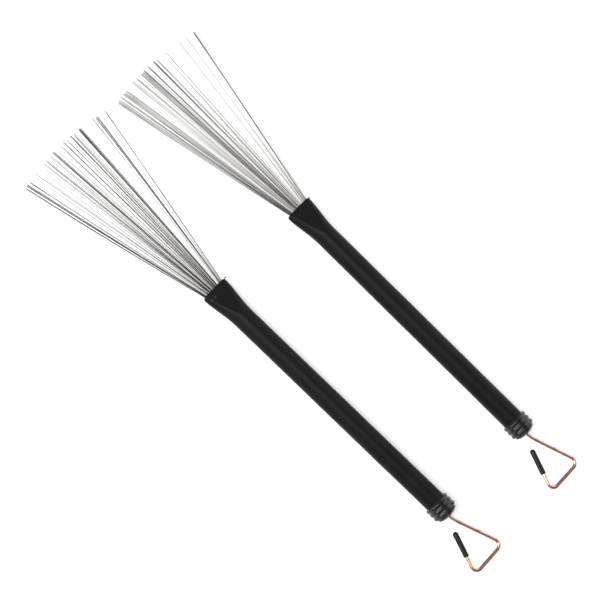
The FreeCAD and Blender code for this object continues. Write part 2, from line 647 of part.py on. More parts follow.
def resting_place(side):
    """Where a brush lies. It rests on its first rib and on the front of the round handle."""
    crest = value_of(f"{CAP_GROOVE} + Sizes.rib_height")
    handle = value_of(SLEEVE_RADIUS)
    front = value_of("Sizes.flare_length")
    span = value_of(RIB_MIDDLE) - front
    pitch = math.atan2(crest - handle, span)
    height = handle * math.cos(pitch) - front * math.sin(pitch)
    place = FreeCAD.Vector(
        side * value_of("Sizes.pair_stagger") / 2, side * value_of("Sizes.pair_spacing") / 2, height
    )
    tilt = FreeCAD.Rotation(FreeCAD.Vector(0, 1, 0), -math.degrees(pitch))
    heading = 180 + side * value_of("Sizes.pair_toe") / 2
    return FreeCAD.Placement(place, FreeCAD.Rotation(FreeCAD.Vector(0, 0, 1), heading) * tilt)


brushes = {side: build_brush(side) for side in (LEFT, RIGHT)}
doc.recompute()
for side, nodes in brushes.items():
    for node in nodes:
        node.Placement = resting_place(side).multiply(node.Placement)

everything = brushes[LEFT] + brushes[RIGHT]
box = FreeCAD.BoundBox()
for node in everything:
    box.add(node.Shape.optimalBoundingBox(False))
to_origin = FreeCAD.Vector(-box.Center.x, -box.Center.y, -box.ZMin)
for node in everything:
    node.Placement.Base = node.Placement.Base + to_origin

# ---------------------------------------------------------------- tests and files

for item in doc.Objects:
    if any(word in state for state in item.State for word in ("Invalid", "Error")):
        raise RuntimeError(f"{item.Label} did not build: {item.State}")
for node in everything:
    if node.Shape.isNull() or not node.Shape.isValid():
        raise RuntimeError(f"{node.Label} has a null or invalid shape")

os.makedirs("parts", exist_ok=True)
for node in everything:
    node.Shape.exportStep(f"parts/{node.Label}.step")
    size = node.Shape.BoundBox
    print(
        f"{node.Label}: {len(node.Shape.Solids)} solids, {node.Shape.Volume:.1f} mm3, "
        f"x {size.XMin:.1f}..{size.XMax:.1f} y {size.YMin:.1f}..{size.YMax:.1f} "
        f"z {size.ZMin:.2f}..{size.ZMax:.2f}"
    )
print(f"pair: {box.XLength:.1f} x {box.YLength:.1f} x {box.ZLength:.1f} mm")
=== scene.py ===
import json
import math
import random
import bmesh
import bpy
from mathutils import Matrix, Vector


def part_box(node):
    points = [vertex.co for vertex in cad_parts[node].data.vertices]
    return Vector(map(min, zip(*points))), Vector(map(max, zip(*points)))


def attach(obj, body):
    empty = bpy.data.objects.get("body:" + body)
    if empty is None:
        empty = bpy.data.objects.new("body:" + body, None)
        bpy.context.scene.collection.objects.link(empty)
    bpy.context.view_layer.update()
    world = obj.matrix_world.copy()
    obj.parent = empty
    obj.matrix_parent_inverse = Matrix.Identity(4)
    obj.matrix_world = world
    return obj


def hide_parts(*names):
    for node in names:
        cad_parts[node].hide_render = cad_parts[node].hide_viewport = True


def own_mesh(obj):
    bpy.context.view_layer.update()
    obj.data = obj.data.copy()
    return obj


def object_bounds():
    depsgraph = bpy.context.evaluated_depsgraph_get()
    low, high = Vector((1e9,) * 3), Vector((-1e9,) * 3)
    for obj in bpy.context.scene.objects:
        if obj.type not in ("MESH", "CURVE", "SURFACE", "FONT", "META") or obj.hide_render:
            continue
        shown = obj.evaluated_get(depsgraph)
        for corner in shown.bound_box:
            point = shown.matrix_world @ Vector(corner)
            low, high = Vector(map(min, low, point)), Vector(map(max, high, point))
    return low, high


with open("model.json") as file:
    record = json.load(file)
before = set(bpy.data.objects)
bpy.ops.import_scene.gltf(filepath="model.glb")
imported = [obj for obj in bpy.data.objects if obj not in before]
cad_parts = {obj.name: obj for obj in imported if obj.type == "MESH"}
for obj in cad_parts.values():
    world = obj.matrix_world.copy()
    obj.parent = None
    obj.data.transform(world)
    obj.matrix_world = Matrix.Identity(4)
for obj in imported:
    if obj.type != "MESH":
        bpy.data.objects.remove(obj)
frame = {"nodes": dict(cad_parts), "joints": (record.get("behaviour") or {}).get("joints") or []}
cad_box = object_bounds()
SIDES = ("left", "right")

# ---------------------------------------------------------------- grip sleeve
# Black rubber tube, 0.73 mm thick, shrunk over the whole handle. In front it follows the pressed
# and flared metal: flat above and below, with a crease that closes to a point behind the mouth,
# rounded corners, a soft rolled lip, two pips, and the nib that the moulding leaves at one corner.

SLEEVE_LENGTH = 0.191
SLEEVE_RADIUS = 0.0071
SLEEVE_WALL = 0.00073
FLARE_LENGTH = 0.0255
FLARE_SPREAD = 0.00245
FLARE_DIP = 0.0016
MOUTH_HALF_HEIGHT = 0.0030
PRESS_RELIEF = 0.00035
MOUTH_CORNER = 0.0027
CORNER_MARGIN = 0.00015
CREASE_SOFTNESS = 0.00028
SLEEVE_SIDES = 128
PIP_BACK = 0.0046
PIP_RADIUS = 0.0005
PIP_HEIGHT = 0.00016
PIP_SIDES = (-0.0036, -0.0065)
# Painted highlight: how pale the pips' crests are painted on each brush, a glint standing in for
# light.
PIP_HIGHLIGHT = {"left": 0.3, "right": 0.06}
PIPS_END = PIP_BACK + 3 * PIP_RADIUS


def brush_frame(side):
    """From a brush's own frame to the row's: the mouth at 0, +x back along the tube, z up."""
    slide = next(j for j in frame["joints"] if j["name"] == f"{side}_core_slide")
    back = Vector(slide["axis"]).normalized()
    across = Vector((0, 0, 1)).cross(back).normalized()
    up = back.cross(across)
    low, high = (Vector(corner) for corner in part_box(f"{side}_grip_sleeve"))
    height = high.z - SLEEVE_RADIUS - SLEEVE_LENGTH * back.z
    place = Matrix.Translation((high.x, (low.y + high.y) / 2, height))
    return place @ Matrix((back, across, up)).transposed().to_4x4()


BRUSH = {side: brush_frame(side) for side in SIDES}


def softened_min(value, limit, softness):
    """The smaller of the two, with the corner between them rounded off."""
    gap = max(softness - abs(value - limit), 0) / softness
    return min(value, limit) - gap * gap * softness / 4


def pressed_ring(back, inset):
    """One ring of the pressed and flared form, every surface moved in by inset."""
    opened = 1 - min(max(back / FLARE_LENGTH, 0), 1)
    weight = opened**2 * (3 - 2 * opened)
    half_width = SLEEVE_RADIUS - inset + FLARE_SPREAD * weight
    half_height = SLEEVE_RADIUS - inset - FLARE_DIP * weight
    slope = (SLEEVE_RADIUS + PRESS_RELIEF - MOUTH_HALF_HEIGHT) / FLARE_LENGTH
    pressed = MOUTH_HALF_HEIGHT - inset + slope * back
    corner_depth = max(MOUTH_CORNER - max(back, 0), 0)
    side = SLEEVE_RADIUS + FLARE_SPREAD + CORNER_MARGIN - inset - MOUTH_CORNER
    side += math.sqrt(MOUTH_CORNER**2 - corner_depth**2)
    ring = []
    for step in range(SLEEVE_SIDES):
        turn = 2 * math.pi * step / SLEEVE_SIDES
        y, z = half_width * math.cos(turn), half_height * math.sin(turn)
        y = math.copysign(softened_min(abs(y), side, CREASE_SOFTNESS), y)
        z = math.copysign(softened_min(abs(z), pressed, CREASE_SOFTNESS), z)
        ring.append(Vector((back, y, z)))
    return ring


def skin(name, rings, place, looped=False):
    """A smooth closed mesh through rings of points. A looped one joins its last ring to its first.

    Its UV map "lay" holds metres along the rings and metres round them.
    """
    work = bmesh.new()
    lay = work.loops.layers.uv.new("lay")
    rows = [[work.verts.new(place @ point) for point in ring] for ring in rings]
    sides = len(rings[0])
    along = [0.0]
    for before, after in zip(rings, rings[1:]):
        along.append(along[-1] + (after[0] - before[0]).length)
    girth = sum((rings[0][k] - rings[0][k - 1]).length for k in range(sides))
    if looped:
        rows.append(rows[0])
        along.append(along[-1] + (rings[0][0] - rings[-1][0]).length)
    for row in range(len(rows) - 1):
        for k in range(sides):
            after = (k + 1) % sides
            corners = [rows[row][k], rows[row][after], rows[row + 1][after], rows[row + 1][k]]
            face = work.faces.new(corners)
            face.smooth = True
            spots = [(row, k), (row, k + 1), (row + 1, k + 1), (row + 1, k)]
            for loop, (r, around) in zip(face.loops, spots):
                loop[lay].uv = (along[r], girth * around / sides)
    if not looped:
        for row in (rows[0], rows[-1]):
            middle = work.verts.new(sum((v.co for v in row), Vector()) / sides)
            for k in range(sides):
                work.faces.new((row[k], row[(k + 1) % sides], middle)).smooth = True
    bmesh.ops.recalc_face_normals(work, faces=work.faces)
    mesh = bpy.data.meshes.new(name)
    work.to_mesh(mesh)
    work.free()
    piece = bpy.data.objects.new(name, mesh)
    bpy.context.scene.collection.objects.link(piece)
    return piece


def stations(first, last, count):
    return [first + (last - first) * step / count for step in range(count + 1)]


def sleeve_rings():
    """The sleeve's rings: outside from back to front, round the lip, then inside to the back."""
    lip = SLEEVE_WALL / 2
    outside = stations(SLEEVE_LENGTH - lip, FLARE_LENGTH, 70)
    outside += stations(FLARE_LENGTH, PIPS_END, 36)[1:]
    outside += stations(PIPS_END, lip, 30)[1:]
    rings = [pressed_ring(back, 0) for back in outside]
    for step in range(1, 8):
        turn = math.pi * step / 8
        rings.append(pressed_ring(lip - lip * math.sin(turn), lip - lip * math.cos(turn)))
    inside = stations(lip, FLARE_LENGTH, 24) + stations(FLARE_LENGTH, SLEEVE_LENGTH - lip, 6)[1:]
    rings += [pressed_ring(back, SLEEVE_WALL) for back in inside]
    for step in range(1, 6):
        turn = math.pi * step / 6
        back = SLEEVE_LENGTH - lip + lip * math.sin(turn)
        rings.append(pressed_ring(back, lip + lip * math.cos(turn)))
    return rings


WAVE_HEIGHT = 0.000018
LONG_WAVE, SHORT_WAVE, CROSS_WAVE = 61, 143, 420  # radians for each metre


def unevenness(point, seed):
    """How far the rubber stands off a true surface there: slow waves, and two moulded pips."""
    waves = math.sin(point.x * LONG_WAVE + seed)
    waves += math.sin(point.x * SHORT_WAVE + 2 * seed + point.y * CROSS_WAVE)
    stand = waves * WAVE_HEIGHT
    for side in PIP_SIDES:
        away = math.hypot(point.x - PIP_BACK, point.y - side) / PIP_RADIUS
        if point.z > 0 and away < 3:
            stand += PIP_HEIGHT * math.exp(-away * away)
    return stand


def paint_pip_highlights(sleeve, side):
    """Stores a painted highlight on the pips' crests, from 0 to 1: pale paint that stands in for a
    glint.
    """
    pip_highlight = sleeve.data.attributes.new("pip_highlight", "FLOAT", "POINT")
    home = BRUSH[side].inverted()
    for vertex in sleeve.data.vertices:
        point = home @ vertex.co
        near = min(math.hypot(point.x - PIP_BACK, point.y - place) for place in PIP_SIDES)
        if point.z > 0:
            pip_highlight.data[vertex.index].value = PIP_HIGHLIGHT[side] * math.exp(-(near / PIP_RADIUS)**2)


def new_finish(name):
    """An empty node material: its tree and its Principled shader."""
    material = bpy.data.materials.new(name)
    material.use_nodes = True
    tree = material.node_tree
    shader = next(n for n in tree.nodes if n.type == "BSDF_PRINCIPLED")
    return material, tree, shader


def laid(tree, stretch=(1, 1, 1), map_name="lay"):
    """Coordinates along and round a piece, in metres, stretched for a drawn or rubbed grain."""
    source = tree.nodes.new("ShaderNodeUVMap")
    source.uv_map = map_name
    mapping = tree.nodes.new("ShaderNodeMapping")
    mapping.inputs["Scale"].default_value = stretch
    tree.links.new(source.outputs["UV"], mapping.inputs["Vector"])
    return mapping.outputs["Vector"]


def placed(tree, stretch=(1, 1, 1)):
    """Coordinates in the row frame, in metres."""
    source = tree.nodes.new("ShaderNodeTexCoord")
    mapping = tree.nodes.new("ShaderNodeMapping")
    mapping.inputs["Scale"].default_value = stretch
    tree.links.new(source.outputs["Object"], mapping.inputs["Vector"])
    return mapping.outputs["Vector"]


def grain(tree, where, size, detail=3, roughness=0.55):
    """Noise whose lumps are about size metres across."""
    noise = tree.nodes.new("ShaderNodeTexNoise")
    noise.inputs["Scale"].default_value = 1 / size
    noise.inputs["Detail"].default_value = detail
    noise.inputs["Roughness"].default_value = roughness
    tree.links.new(where, noise.inputs["Vector"])
    return noise.outputs["Fac"]


def banded(tree, value, low, high, out_low, out_high):
    """Spreads a value between low and high over out_low to out_high, and holds it there."""
    spread = tree.nodes.new("ShaderNodeMapRange")
    for name, number in (("From Min", low), ("From Max", high), ("To Min", out_low),
                         ("To Max", out_high)):
        spread.inputs[name].default_value = number
    tree.links.new(value, spread.inputs["Value"])
    return spread.outputs["Result"]


def blended(tree, share, first, second):
    """A colour between two others. Each is a colour or another node's output."""
    mix = tree.nodes.new("ShaderNodeMix")
    mix.data_type = "RGBA"
    tree.links.new(share, mix.inputs["Factor"])
    for socket, colour in (("A", first), ("B", second)):
        target = next(i for i in mix.inputs if i.name == socket and i.type == "RGBA")
        if isinstance(colour, tuple):
            target.default_value = (*colour, 1)
        else:
            tree.links.new(colour, target)
    return next(o for o in mix.outputs if o.type == "RGBA")


def raised(tree, shader, height, depth, strength=1.0):
    """Bumps the surface by a height from 0 to 1 that stands for depth metres."""
    bump = tree.nodes.new("ShaderNodeBump")
    bump.inputs["Distance"].default_value = depth
    bump.inputs["Strength"].default_value = strength
    before = shader.inputs["Normal"].links
    if before:
        tree.links.new(before[0].from_socket, bump.inputs["Normal"])
    tree.links.new(height, bump.inputs["Height"])
    tree.links.new(bump.outputs["Normal"], shader.inputs["Normal"])


def sleeve_rubber():
    """Satin black rubber: a fine pebble, pale specks of dust, and a painted highlight on the pips'
    crests.
    """
    material, tree, shader = new_finish("sleeve_rubber")
    where = laid(tree)
    clouds = grain(tree, where, 0.018)
    pebble = grain(tree, where, 0.00045, 2)
    specks = grain(tree, where, 0.00022, 1)
    rubber = blended(tree, clouds, (0.0042, 0.0042, 0.0044), (0.0084, 0.0084, 0.0088))
    dust = banded(tree, specks, 0.70, 0.80, 0, 0.35)
    dusty = blended(tree, dust, rubber, (0.05, 0.049, 0.047))
    pip_highlight = tree.nodes.new("ShaderNodeAttribute")
    pip_highlight.attribute_name = "pip_highlight"
    # Painted highlight: the pips' crests are blended towards pale grey, standing in for a glint.
    colour = blended(tree, pip_highlight.outputs["Fac"], dusty, (0.17, 0.17, 0.165))
    tree.links.new(colour, shader.inputs["Base Color"])
    tree.links.new(banded(tree, clouds, 0.3, 0.7, 0.30, 0.42), shader.inputs["Roughness"])
    shader.inputs["Specular IOR Level"].default_value = 0.05
    raised(tree, shader, pebble, 0.00002, 0.4)
    return material


NIB_ROOT = Vector((0.0010, 0.0088, 0.0010))
NIB_RADIUS = 0.00026
NIB_LENGTH = {"left": 0.0020, "right": 0.0013}
NIB_LEAN = Vector((-0.45, 1, 0.1)).normalized()
NIB_BEND = 0.0002
NIB_SIDES = 12
# How far along the nib, and how thick it is there: a foot, a thin stalk and a bead.
NIB_SWELLS = ((0, 1.3), (0.3, 0.9), (0.55, 0.8), (0.62, 1.4), (0.7, 2.0), (0.82, 2.3),
              (0.94, 1.9), (1.01, 1.2), (1.04, 0.5))


def nib_rings(length):
    """The nib at the mouth's corner: a thin bent stalk with a bead on its end."""
    across = NIB_LEAN.cross(Vector((0, 0, 1))).normalized()
    over = NIB_LEAN.cross(across)
    rings = []
    for share, swell in NIB_SWELLS:
        middle = NIB_ROOT + NIB_LEAN * length * share + across * NIB_BEND * share**2
        ring = []
        for step in range(NIB_SIDES):
            turn = 2 * math.pi * step / NIB_SIDES
            out = across * math.cos(turn) + over * math.sin(turn)
            ring.append(middle + out * NIB_RADIUS * swell)
        rings.append(ring)
    return rings


def join(pieces):
    """Makes one object of several, named as the first."""
    with bpy.context.temp_override(active_object=pieces[0], selected_editable_objects=pieces):
        bpy.ops.object.join()
    return pieces[0]


rubber = sleeve_rubber()
for seed, side in enumerate(SIDES, start=1):
    rings = sleeve_rings()
    for ring in rings:
        for point in ring:
            stand = unevenness(point, seed)
            point.yz = point.yz * (1 + stand / SLEEVE_RADIUS)
    sleeve = skin(f"{side}_sleeve", rings, BRUSH[side], looped=True)
    paint_pip_highlights(sleeve, side)
    nib = skin(f"{side}_nib", nib_rings(NIB_LENGTH[side]), BRUSH[side])
    sleeve = join([sleeve, nib])
    sleeve.data.materials.append(rubber)
    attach(sleeve, f"{side}_handle")
    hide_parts(f"{side}_grip_sleeve")

# ---------------------------------------------------------------- handle tube
# Drawn aluminium tube, black anodised. Only its rim inside the mouth and the narrow ring between
# the sleeve and the end cap can be seen. The drawing leaves fine lines along it.


def anodised_tube():
    """Black dye over fine draw lines."""
    material, tree, shader = new_finish("anodised_tube")
    lines = grain(tree, placed(tree, (0.03, 1, 1)), 0.0003, 4)
    dye = blended(tree, lines, (0.012, 0.012, 0.013), (0.028, 0.028, 0.03))
    tree.links.new(dye, shader.inputs["Base Color"])
    tree.links.new(banded(tree, lines, 0.3, 0.7, 0.3, 0.48), shader.inputs["Roughness"])
    shader.inputs["Metallic"].default_value = 0.3
    shader.inputs["Specular IOR Level"].default_value = 0.2
    raised(tree, shader, lines, 0.000008, 0.4)
    return material


def finish_node(node, material):
    """Gives a CAD node its material."""
    data = frame["nodes"][node].data
    data.materials.clear()
    data.materials.append(material)


black_anodised = anodised_tube()
for side in SIDES:
    finish_node(f"{side}_handle_tube", black_anodised)

# ---------------------------------------------------------------- end cap
# Moulded rubber cap pushed over the tube's back end: three round ribs for the fingers with wide
# grooves between, a waist, a brim and a low dome that the rod comes out of. Glossier than the sleeve.

CAP_FRONT = SLEEVE_LENGTH + 0.0009
CAP_BORE = 0.00637
CAP_GROOVE = 0.00795
RIB_PITCH = 0.00334
RIB_COUNT = 3
RIB_CREST = 0.0087
RIB_ROUND = 0.0011
RIB_SLOPE = math.radians(36)
RIB_EDGE = 0.000835  # from a rib's middle to the end of the ribbed part
RIB_FIRST = CAP_FRONT + RIB_EDGE
RIBS_BACK = RIB_FIRST + RIB_PITCH * (RIB_COUNT - 1) + RIB_EDGE
CAP_WAIST = 0.00675
CAP_BRIM = 0.00715
CAP_BACK = RIBS_BACK + 0.0036
WAIST_BACK = CAP_BACK - 0.0030
BRIM_FRONT = CAP_BACK - 0.0024
BRIM_BACK = CAP_BACK - 0.0019
CAP_FLOOR = 0.1995
DOME_BULGE = 0.00056
ROD_HOLE = 0.00133
HOLE_LIP = 0.0019
CAP_SIDES = 144


def bow(first, last, sagitta, count):
    """Points of an arc from first to last that stands out by sagitta to the left."""
    chord = last - first
    out = Vector((-chord.y, chord.x)).normalized()
    half = chord.length / 2
    radius = (half**2 + sagitta**2) / (2 * sagitta)
    centre = (first + last) / 2 - out * (radius - sagitta)
    begin = math.atan2(*(first - centre).yx)
    sweep = 2 * math.asin(min(half / radius, 1))
    points = []
    for step in range(1, count + 1):
        turn = begin - sweep * step / count
        points.append(centre + radius * Vector((math.cos(turn), math.sin(turn))))
    return points


def spin(name, outline, place, sides):
    """Turns a closed outline of (distance back, radius) about the brush's axis."""
    rings = []
    for back, radius in outline:
        turns = (2 * math.pi * k / sides for k in range(sides))
        rings.append([Vector((back, radius * math.cos(t), radius * math.sin(t))) for t in turns])
    return skin(name, rings, place, looped=True)


def rib_wave():
    """The ribs' outline: a round crest, and between two crests a wider round groove."""
    half_crest = RIB_ROUND * math.sin(RIB_SLOPE)
    groove_round = (RIB_PITCH / 2 - half_crest) / math.sin(RIB_SLOPE)
    low = RIB_CREST - (RIB_ROUND + groove_round) * (1 - math.cos(RIB_SLOPE))
    points = []
    for rib in range(RIB_COUNT):
        middle = Vector((RIB_FIRST + RIB_PITCH * rib, RIB_CREST - RIB_ROUND))
        first = math.radians(-80) if rib == 0 else -RIB_SLOPE
        last = math.radians(80) if rib == RIB_COUNT - 1 else RIB_SLOPE
        for turn in stations(first, last, 14):
            points.append(middle + RIB_ROUND * Vector((math.sin(turn), math.cos(turn))))
        if rib < RIB_COUNT - 1:
            groove = Vector((middle.x + RIB_PITCH / 2, low + groove_round))
            for turn in stations(-RIB_SLOPE, RIB_SLOPE, 12)[1:-1]:
                points.append(groove + groove_round * Vector((math.sin(turn), -math.cos(turn))))
    return points


def cap_outline():
    """From the bore's front over the ribs, waist, brim and dome to the rod's hole and the floor."""
    points = [Vector((CAP_FRONT, CAP_BORE)), Vector((CAP_FRONT, CAP_GROOVE - 0.0004))]
    points += bow(points[-1], Vector((CAP_FRONT + 0.0001, CAP_GROOVE - 0.0001)), 0.00003, 3)
    points += rib_wave()
    points.append(Vector((RIBS_BACK, CAP_GROOVE - 0.0003)))
    points += bow(points[-1], Vector((WAIST_BACK, CAP_WAIST)), 0.00004, 4)
    points += bow(points[-1], Vector((BRIM_FRONT, CAP_BRIM)), 0.00006, 4)
    points += bow(points[-1], Vector((BRIM_BACK, CAP_BRIM)), 0.0001, 6)
    points += bow(points[-1], Vector((CAP_BACK - 0.0002, HOLE_LIP)), DOME_BULGE, 16)
    points += bow(points[-1], Vector((CAP_BACK - 0.0001, ROD_HOLE)), 0.00012, 5)
    points += [Vector((CAP_FLOOR, ROD_HOLE)), Vector((CAP_FLOOR, CAP_BORE))]
    return points


def cap_rubber():
    """Moulded rubber with a soft gloss and a slight orange peel."""
    material, tree, shader = new_finish("cap_rubber")
    where = placed(tree)
    clouds = grain(tree, where, 0.006)
    peel = grain(tree, where, 0.0006, 2)
    colour = blended(tree, clouds, (0.003, 0.003, 0.0033), (0.008, 0.008, 0.0085))
    tree.links.new(colour, shader.inputs["Base Color"])
    tree.links.new(banded(tree, clouds, 0.3, 0.7, 0.1, 0.19), shader.inputs["Roughness"])
    shader.inputs["Specular IOR Level"].default_value = 0.3
    raised(tree, shader, peel, 0.00001, 0.3)
    return material


gloss_rubber = cap_rubber()
for side in SIDES:
    cap = spin(f"{side}_cap", cap_outline(), BRUSH[side], CAP_SIDES)
    cap.data.materials.append(gloss_rubber)
    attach(cap, f"{side}_handle")
    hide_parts(f"{side}_end_cap")

# ---------------------------------------------------------------- end plug and friction ring
# Inside the back of the tube: a moulded plastic bush that guides the rod, and a rubber ring in its
# seat that grips the rod. Both are pressed in, and hidden by the end cap.


def moulded(name, dark, light, rough, grain_size, depth):
    """A plain moulded plastic or rubber with a faint texture."""
    material, tree, shader = new_finish(name)
    texture = grain(tree, placed(tree), grain_size, 4)
    tree.links.new(blended(tree, texture, dark, light), shader.inputs["Base Color"])
    tree.links.new(banded(tree, texture, 0.3, 0.7, rough - 0.08, rough + 0.08),
                   shader.inputs["Roughness"])
    raised(tree, shader, texture, depth, 0.5)
    return material


plug_plastic = moulded("plug_plastic", (0.02, 0.02, 0.022), (0.04, 0.04, 0.042), 0.45, 0.001, 2e-5)
ring_rubber = moulded("ring_rubber", (0.01, 0.01, 0.01), (0.02, 0.02, 0.02), 0.55, 0.0006, 2e-5)
for side in SIDES:
    finish_node(f"{side}_end_plug", plug_plastic)
    finish_node(f"{side}_friction_ring", ring_rubber)

# ---------------------------------------------------------------- pull rod
# Steel rod, 2.5 mm thick and bright copper plated, straight down the handle and cold bent behind
# it into an open triangular loop. The plating shows fine draw lines, and is browner in patches.

ROD_RADIUS = 0.00125
ROD_START = 0.0368
EXIT_BEND_BACK = 0.00295
LOOP_LEAN = math.radians(18.35)
LOOP_BASE = 0.0362
RETURN_LEAN = math.radians(20.3)
ROD_END_BACK = 0.0104
ROD_END_SIDE = 0.00595
ROD_BENDS = (0.016, 0.004, 0.0036)


def rod_corners():
    """Where the rod's straight runs would meet: its front, the exit, the loop's two and its end."""
    base = CAP_BACK + LOOP_BASE
    bend = Vector((CAP_BACK + EXIT_BEND_BACK, 0, 0))
    end = Vector((CAP_BACK + ROD_END_BACK, -ROD_END_SIDE, 0))
    first = Vector((base, (base - bend.x) * math.tan(LOOP_LEAN), 0))
    second = Vector((base, end.y - (base - end.x) * math.tan(RETURN_LEAN), 0))
    return [Vector((ROD_START, 0, 0)), bend, first, second, end]


def rounded(corners, bends, run=0.004, turn_step=math.radians(6)):
    """Points along straight legs joined by arcs, close together in the arcs."""
    points = [corners[0]]
    for index, bend in enumerate(bends, start=1):
        before = (corners[index - 1] - corners[index]).normalized()
        after = (corners[index + 1] - corners[index]).normalized()
        opening = before.angle(after)
        reach = bend / math.tan(opening / 2)
        start = corners[index] + before * reach
        middle = corners[index] + (before + after).normalized() * bend / math.sin(opening / 2)
        spoke = start - middle
        axis = before.cross(spoke).normalized()
        turn = math.pi - opening
        legs = max(int((start - points[-1]).length / run), 1)
        points += [points[-1].lerp(start, k / legs) for k in range(1, legs + 1)]
        steps = max(int(turn / turn_step), 3)
        points += [middle + Matrix.Rotation(turn * k / steps, 3, axis) @ spoke
                   for k in range(1, steps + 1)]
    legs = max(int((corners[-1] - points[-1]).length / run), 1)
    points += [points[-1].lerp(corners[-1], k / legs) for k in range(1, legs + 1)]
    return points


def bar_rings(points, radius, sides):
    """Rings of a round bar along points."""
    rings = []
    flat = Vector((0, 0, 1))
    for index, point in enumerate(points):
        ahead = points[min(index + 1, len(points) - 1)] - points[max(index - 1, 0)]
        across = ahead.cross(flat).normalized()
        over = across.cross(ahead).normalized()
        turns = [2 * math.pi * k / sides for k in range(sides)]
        rings.append([point + (across * math.cos(t) + over * math.sin(t)) * radius for t in turns])
    return rings


def copper_plate():
    """Bright copper plate with draw lines along the rod and darker tarnish in patches."""
    material, tree, shader = new_finish("copper_plate")
    lines = grain(tree, laid(tree, (0.04, 1, 1)), 0.00022, 4, 0.6)
    clouds = grain(tree, laid(tree), 0.007, 3)
    pits = grain(tree, laid(tree), 0.0004, 2)
    bright = blended(tree, lines, (0.41, 0.25, 0.20), (0.56, 0.38, 0.325))
    tarnish = banded(tree, clouds, 0.50, 0.70, 0, 0.8)
    colour = blended(tree, tarnish, bright, (0.25, 0.13, 0.095))
    tree.links.new(colour, shader.inputs["Base Color"])
    shader.inputs["Metallic"].default_value = 1.0
    tree.links.new(banded(tree, lines, 0.3, 0.7, 0.14, 0.27), shader.inputs["Roughness"])
    raised(tree, shader, lines, 0.000006, 0.5)
    raised(tree, shader, pits, 0.000008, 0.35)
    return material


copper = copper_plate()
for side in SIDES:
    rod = skin(f"{side}_rod", bar_rings(rounded(rod_corners(), ROD_BENDS), ROD_RADIUS, 32),
               BRUSH[side])
    rod.data.materials.append(copper)
    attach(rod, f"{side}_core")
    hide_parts(f"{side}_pull_rod")

# ---------------------------------------------------------------- rod tip
# Dipped vinyl cap on the free end of the loop, so that it doesn't scratch. It is black, a little
# fuller at its round end, and has a thin rolled lip where the copper goes in.

TIP_RADIUS = 0.0018
TIP_WALL = 0.0016
TIP_COVER = 0.0154
TIP_BORE = 0.00126
TIP_FULLER = 0.00002
TIP_SIDES = 40


def tip_outline():
    """From the dome's centre round the outside to the lip, then back down the bore."""
    points = []
    for step in range(1, 13):
        turn = math.pi / 2 * step / 12
        points.append((TIP_RADIUS - TIP_WALL - TIP_RADIUS * math.cos(turn),
                       TIP_RADIUS * math.sin(turn)))
    for share in (0.2, 0.4, 0.6, 0.8, 0.95):
        fuller = TIP_FULLER * math.cos(share * 5)
        points.append((TIP_COVER * share, TIP_RADIUS - 0.00003 + fuller))
    lip = (TIP_RADIUS - TIP_BORE) / 2
    for step in range(7):
        turn = math.pi * step / 6
        points.append((TIP_COVER - lip + lip * math.sin(turn),
                       TIP_BORE + lip + lip * math.cos(turn)))
    points.append((0.00002, TIP_BORE))
    return points


def vinyl():
    """Dipped black vinyl: soft gloss, small runs and pock marks."""
    material, tree, shader = new_finish("vinyl")
    runs = grain(tree, placed(tree), 0.0016, 3)
    pocks = grain(tree, placed(tree), 0.0005, 2)
    colour = blended(tree, runs, (0.004, 0.0031, 0.0027), (0.009, 0.0072, 0.0064))
    tree.links.new(colour, shader.inputs["Base Color"])
    shader.inputs["Specular IOR Level"].default_value = 0.14
    tree.links.new(banded(tree, runs, 0.3, 0.7, 0.25, 0.42), shader.inputs["Roughness"])
    raised(tree, shader, runs, 0.00006, 0.5)
    raised(tree, shader, pocks, 0.00002, 0.4)
    return material


dipped_vinyl = vinyl()
for side in SIDES:
    end = rod_corners()[-1]
    leg = Matrix.Translation(end) @ Matrix.Rotation(-RETURN_LEAN, 4, "Z")
    turns = [2 * math.pi * k / TIP_SIDES for k in range(TIP_SIDES)]
    rings = [[Vector((x, r * math.cos(t), r * math.sin(t))) for t in turns]
             for x, r in tip_outline()]
    tip = skin(f"{side}_tip", rings, BRUSH[side] @ leg)
    tip.data.materials.append(dipped_vinyl)
    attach(tip, f"{side}_core")
    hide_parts(f"{side}_rod_tip")

# ---------------------------------------------------------------- ferrule and slide bush
# Turned brass ferrule, crimped twice on the wires and bored for the rod, with a natural nylon bush
# pushed on its back that runs in the tube. Both stay inside the handle.


def turned_brass():
    """Lathe rings round the ferrule, and brown stain where it was handled."""
    material, tree, shader = new_finish("turned_brass")
    rings = grain(tree, placed(tree, (1, 0.05, 0.05)), 0.00025, 3)
    stain = grain(tree, placed(tree), 0.004, 3)
    metal = blended(tree, rings, (0.62, 0.46, 0.19), (0.78, 0.62, 0.32))
    tree.links.new(blended(tree, banded(tree, stain, 0.5, 0.75, 0, 0.5), metal,
                           (0.32, 0.2, 0.09)), shader.inputs["Base Color"])
    shader.inputs["Metallic"].default_value = 1.0
    tree.links.new(banded(tree, rings, 0.3, 0.7, 0.22, 0.38), shader.inputs["Roughness"])
    raised(tree, shader, rings, 0.00001, 0.5)
    return material


brass = turned_brass()
nylon = moulded("nylon", (0.62, 0.60, 0.54), (0.74, 0.72, 0.66), 0.42, 0.0015, 2e-5)
for side in SIDES:
    finish_node(f"{side}_wire_ferrule", brass)
    finish_node(f"{side}_slide_bush", nylon)

# ---------------------------------------------------------------- wires
# Drawn spring steel wires, 0.3 mm thick, cut square at the tips. They leave the mouth side by side
# and fan out, but hang together in bundles with gaps between, and one wide gap near one edge.

